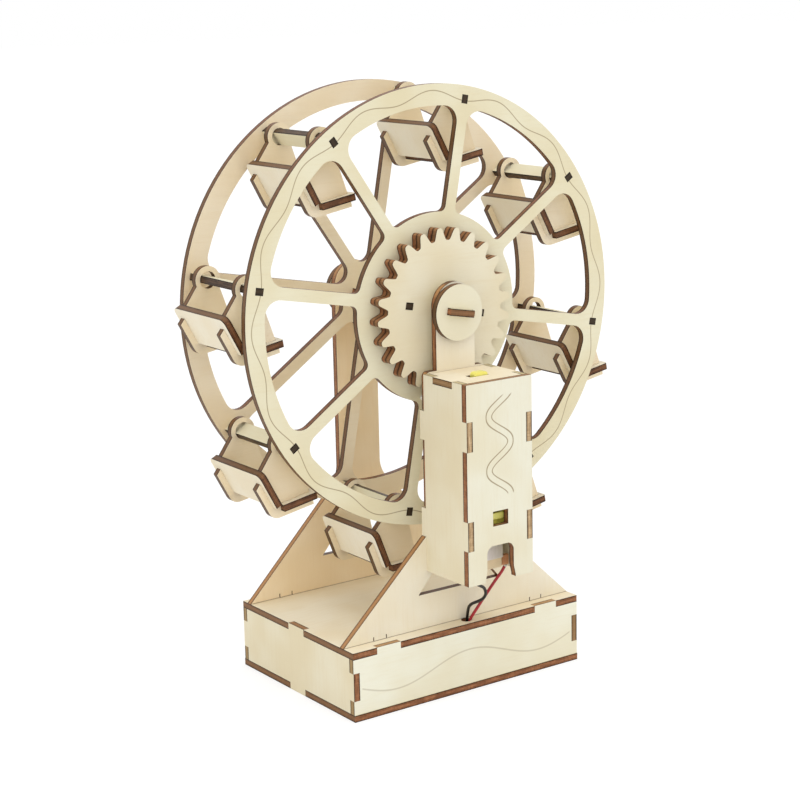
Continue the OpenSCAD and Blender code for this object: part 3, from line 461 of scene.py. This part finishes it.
def dress_motor():
    yellow = plastic("yellow_plastic", srgb(250, 243, 122), 0.3)
    yellow.shader.inputs["Coat Weight"].default_value = 0.3
    dress("motor_gearbox", yellow.material)
    # A lighter copy of the yellow plastic on the boss: a painted highlight where light comes in at
    # the tower's window
    make_boss(plastic("highlight_yellow_plastic", srgb(255, 251, 138), 0.3).material)
    dress("motor_can", metal("can_steel", srgb(244, 238, 234), 0.36, Z, 0.35))
    dress("motor_end_cap", plastic("cream_plastic", srgb(238, 216, 178), 0.45).material)
    dress("motor_terminals", metal("terminal_copper", srgb(216, 158, 122), 0.4, Z, 0.7))
    white = plastic("white_plastic", srgb(236, 234, 226), 0.35).material
    dress("motor_shaft", white)
    dress("drive_pinion", white)


def dress_power():
    black = plastic("black_plastic", srgb(34, 34, 36), 0.5).material
    for node in ("battery_box", "battery_lid", "switch_body"):
        dress(node, black)
    dress("switch_slider", plastic("slider_plastic", srgb(44, 44, 46), 0.35).material)
    dress("battery_cells", plastic("cell_wrap", srgb(70, 92, 84), 0.3).material)
    dress("battery_contacts", metal("contact_steel", srgb(206, 206, 208), 0.3, Z))


def new_piece(name, points, faces, material, body, slot):
    """A smooth piece made of points in metres, which rides on a body."""
    mesh = bpy.data.meshes.new(name)
    mesh.from_pydata([tuple(p) for p in points], [], faces)
    mesh.polygons.foreach_set("use_smooth", [True] * len(mesh.polygons))
    mesh.materials.append(material)
    piece = bpy.data.objects.new(name, mesh)
    bpy.context.scene.collection.objects.link(piece)
    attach(piece, body)
    return piece


def swept(rings):
    """Faces that join rings of points one after the other, with both ends closed."""
    n = len(rings[0])
    points = [p for ring in rings for p in ring]
    faces = [
        (i * n + j, i * n + (j + 1) % n, (i + 1) * n + (j + 1) % n, (i + 1) * n + j)
        for i in range(len(rings) - 1) for j in range(n)
    ]
    last = (len(rings) - 1) * n
    return points, faces + [tuple(reversed(range(n))), tuple(range(last, last + n))]


# The boss on the gearbox's front: two opposite corners in x and z, the radius of its corners and
# of its front edge, how far it stands out, and how deep it is set into the gearbox
BOSS_LOW, BOSS_HIGH = Vector((-6.0, 66.9)) * MM, Vector((4.0, 69.3)) * MM
BOSS_CORNER, BOSS_EDGE, BOSS_PROUD, BOSS_ROOT = 0.7 * MM, 0.4 * MM, 2.6 * MM, 0.1 * MM
QUARTER_STEPS = 6


def make_boss(material):
    """The rounded boss on the gearbox's front, which shows through the tower's window. Its paler
    yellow is a painted highlight: the patch of light that comes in at the window.
    """
    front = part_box("motor_gearbox")[0].y
    middle, half = (BOSS_LOW + BOSS_HIGH) / 2, (BOSS_HIGH - BOSS_LOW) / 2
    quarter_turn = [pi / 2 * k / QUARTER_STEPS for k in range(QUARTER_STEPS + 1)]

    def ring(y, inset):
        r = BOSS_CORNER - inset / 2
        points = []
        for quarter, (sx, sz) in enumerate(((1, 1), (1, -1), (-1, -1), (-1, 1))):
            x = middle.x + sx * (half.x - inset - r)
            z = middle.y + sz * (half.y - inset - r)
            for a in quarter_turn:
                a = pi / 2 * (1 - quarter) - a
                points.append(Vector((x + r * cos(a), y, z + r * sin(a))))
        return points

    edge_y = front - BOSS_PROUD + BOSS_EDGE
    rings = [ring(front + BOSS_ROOT, 0.0)] + [
        ring(edge_y - BOSS_EDGE * sin(a), BOSS_EDGE * (1 - cos(a))) for a in quarter_turn
    ]
    new_piece("gearbox_highlight_boss", *swept(rings), material, "stand", "yellow_plastic")


# Wires, by points that they pass, counted from the hole in the base's top plate in millimetres
WIRE_D = 1.1 * MM
WIRE_SIDES = 14
wire_hole = Vector((1.4, -32.9, 25.0)) * MM
RED_ROUTE = [
    (8.6, -12.1, 21.9), (7.2, -11.9, 19.7), (6, -10.4, 16.9), (5.3, -9, 14.6), (4.6, -7.6, 12.2),
    (3.8, -6.3, 9.8), (3.1, -4.9, 7.4), (2.4, -3.5, 4.9), (1.7, -2.1, 2.5), (1, -0.9, 0),
    (0.9, -0.6, -2.5), (0.9, -0.5, -5), (0.8, -0.1, -7.5), (0.7, 0.7, -9.6), (0.6, 2.3, -11),
    (0.6, 4.1, -11)
]
BLACK_ROUTE = [
    (-11.2, -12.1, 21.9), (-9, -12.4, 19.9), (-6.8, -12.4, 18.9), (-4.4, -11.9, 17.4),
    (-2, -11.1, 16), (0.2, -10.4, 14.7), (1.5, -9.8, 12.6), (1.9, -8.5, 10.3), (1.1, -6.5, 8.6),
    (-0.2, -4.3, 7.4), (-0.4, -2.4, 5.8), (0.1, -1, 3.6), (0.6, 0.1, 1.4), (0.7, 0.5, -1),
    (0.5, 0.6, -3.6), (-0.2, 0.7, -6.2), (-1.2, 1.2, -8.6), (-2.2, 2.3, -11), (-2.2, 4.1, -11)
]
# The solder on a terminal: places along the wire from its end, with the radius at each
SOLDER_SHAPE = [
    (-0.9, 0.05), (-0.75, 0.34), (-0.45, 0.55), (0.0, 0.72), (0.35, 0.74), (0.6, 0.66), (0.7, 0.56)
]


def curve_point(a, b, c, d, t):
    """A point a share t of the way from b to c, on the smooth curve through a, b, c and d."""
    return 0.5 * (
        2 * b + (c - a) * t
        + (2 * a - 5 * b + 4 * c - d) * t * t + (3 * b - a - 3 * c + d) * t ** 3
    )


def smooth_route(points, steps=6, passes=5):
    """Points close together on a smooth curve along the given ones."""
    route = []
    ends = [2 * points[0] - points[1]] + points + [2 * points[-1] - points[-2]]
    for near in zip(ends, ends[1:], ends[2:], ends[3:]):
        route += [curve_point(*near, i / steps) for i in range(steps)]
    route.append(points[-1])
    for _ in range(passes):
        route[1:-1] = [(a + 2 * b + c) / 4 for a, b, c in zip(route, route[1:], route[2:])]
    return route


def tube_rings(path, radii, sides):
    """Rings round a path, each turned as little as can be from the one before."""
    rings, side = [], None
    for i, point in enumerate(path):
        along = (path[min(i + 1, len(path) - 1)] - path[max(i - 1, 0)]).normalized()
        side = along.orthogonal() if side is None else side - along * side.dot(along)
        side.normalize()
        other = along.cross(side)
        rings.append([
            point + radii[i] * (cos(2 * pi * j / sides) * side + sin(2 * pi * j / sides) * other)
            for j in range(sides)
        ])
    return rings


def make_wire(name, points, colour, node, slot):
    path = smooth_route([wire_hole + Vector(p) * MM for p in points])
    rings = tube_rings(path, [WIRE_D / 2] * len(path), WIRE_SIDES)
    material = plastic(name, colour, 0.38, 0.08).material
    piece = new_piece(name, *swept(rings), material, "stand", slot)
    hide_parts(node)
    return path


def make_solder(name, path, material):
    """The solder round a wire's bare end on its terminal."""
    along = (path[1] - path[0]).normalized()
    line = [path[0] + along * place * MM for place, _ in SOLDER_SHAPE]
    rings = tube_rings(line, [radius * MM for _, radius in SOLDER_SHAPE], WIRE_SIDES)
    new_piece(name, *swept(rings), material, "stand", "can_steel")


def make_wires():
    solder = metal("solder", srgb(205, 200, 192), 0.35, X)
    path = make_wire("red_lead", RED_ROUTE, srgb(168, 33, 46), "red_wire", "red_insulation")
    make_solder("red_solder", path, solder)
    path = make_wire("black_lead", BLACK_ROUTE, srgb(22, 20, 14), "black_wire", "black_insulation")
    make_solder("black_solder", path, solder)


def make_camera():
    """The photograph's camera, fitted to the object's edges and real size."""
    azimuth, elevation, roll = radians(-36.32), radians(12.20), radians(-0.97)
    # Metres: how far it is from the point it looks at, and how far moved in its own plane
    distance, aim = 0.6998, Vector((0, 0, 0.110))
    aside, above = 0.01526, -0.00431
    # Pixels: the lens, the picture's side, and where the lens's axis meets the picture
    lens_px, image_px = 1929.6, 800
    centre_x, centre_y = 447.1, 386.2
    back = Vector((sin(azimuth) * cos(elevation), -cos(azimuth) * cos(elevation), sin(elevation)))
    right = Vector((cos(azimuth), sin(azimuth), 0))
    up = back.cross(right)
    r = right * cos(roll) + up * sin(roll)
    u = up * cos(roll) - right * sin(roll)
    data = bpy.data.cameras.new("camera")
    data.lens = data.sensor_width * lens_px / image_px
    data.shift_x = (image_px / 2 - centre_x) / image_px
    data.shift_y = (centre_y - image_px / 2) / image_px
    camera = bpy.data.objects.new("camera", data)
    place = aim + r * aside + u * above + back * distance
    camera.matrix_world = Matrix.Translation(place) @ Matrix((r, u, back)).transposed().to_4x4()
    bpy.context.scene.collection.objects.link(camera)
    bpy.context.scene.camera = camera


def make_floor():
    """A white floor with a faint shadow, which lights the object from below as pale paper does."""
    half, below = 6.0, 0.1 * MM
    corners = [(-half, -half, 0), (half, -half, 0), (half, half, 0), (-half, half, 0)]
    mesh = bpy.data.meshes.new("floor")
    mesh.from_pydata(corners, [], [(0, 1, 2, 3)])
    floor = bpy.data.objects.new("floor", mesh)
    floor.location.z = -below
    bpy.context.scene.collection.objects.link(floor)
    g = Graph("floor_white")
    seen = g.tree.nodes.new("ShaderNodeLightPath").outputs["Is Camera Ray"]
    # Most of the white that the camera sees is the floor's own, so that the shadow stays faint
    paper, seen_paper, own_white = (0.84, 0.83, 0.81, 1), (0.3, 0.3, 0.3, 1), 0.74
    g.set(Base_Color=g.mix(seen, paper, seen_paper), Roughness=0.9)
    g.shader.inputs["Specular IOR Level"].default_value = 0.0
    g.set(Emission_Color=(1, 1, 1, 1), Emission_Strength=g.math("MULTIPLY", seen, own_white))
    mesh.materials.append(g.material)


def sun(name, direction, strength, spread):
    """A far, soft lamp that shines from a direction."""
    data = bpy.data.lights.new(name, "SUN")
    data.energy = strength
    data.angle = radians(spread)
    light = bpy.data.objects.new(name, data)
    light.rotation_euler = Vector(direction).to_track_quat("Z", "Y").to_euler()
    bpy.context.scene.collection.objects.link(light)


def make_lights():
    """Three soft lamps in a white world, which is a little warm where it lights the object."""
    sun("key", (0.5, -1.0, 0.8), 0.12, 30)
    sun("fill", (-1.0, -0.5, 0.7), 0.25, 60)
    sun("top", (0.1, -0.2, 1.0), 0.5, 50)
    world = bpy.context.scene.world or bpy.data.worlds.new("world")
    bpy.context.scene.world = world
    world.use_nodes = True
    tree = world.node_tree
    background = tree.nodes["Background"]
    path = tree.nodes.new("ShaderNodeLightPath")
    clear = path.outputs["Is Camera Ray"]
    for ray in ("Is Glossy Ray", "Is Transmission Ray"):
        either = tree.nodes.new("ShaderNodeMath")
        either.operation = "MAXIMUM"
        tree.links.new(clear, either.inputs[0])
        tree.links.new(path.outputs[ray], either.inputs[1])
        clear = either.outputs[0]
    background.inputs["Strength"].default_value = 1.0
    tint = tree.nodes.new("ShaderNodeMix")
    tint.data_type = "RGBA"
    tree.links.new(clear, tint.inputs["Factor"])
    colours = {"A_Color": (1, 0.99, 0.97, 1), "B_Color": (1, 1, 1, 1)}
    for socket in tint.inputs:
        if socket.identifier in colours:
            socket.default_value = colours[socket.identifier]
    result = next(s for s in tint.outputs if s.identifier == "Result_Color")
    tree.links.new(result, background.inputs["Color"])


make_camera()
make_wires()
dress_ply()
dress_motor()
dress_power()
make_floor()
make_lights()
bpy.context.scene.view_settings.view_transform = "Standard"
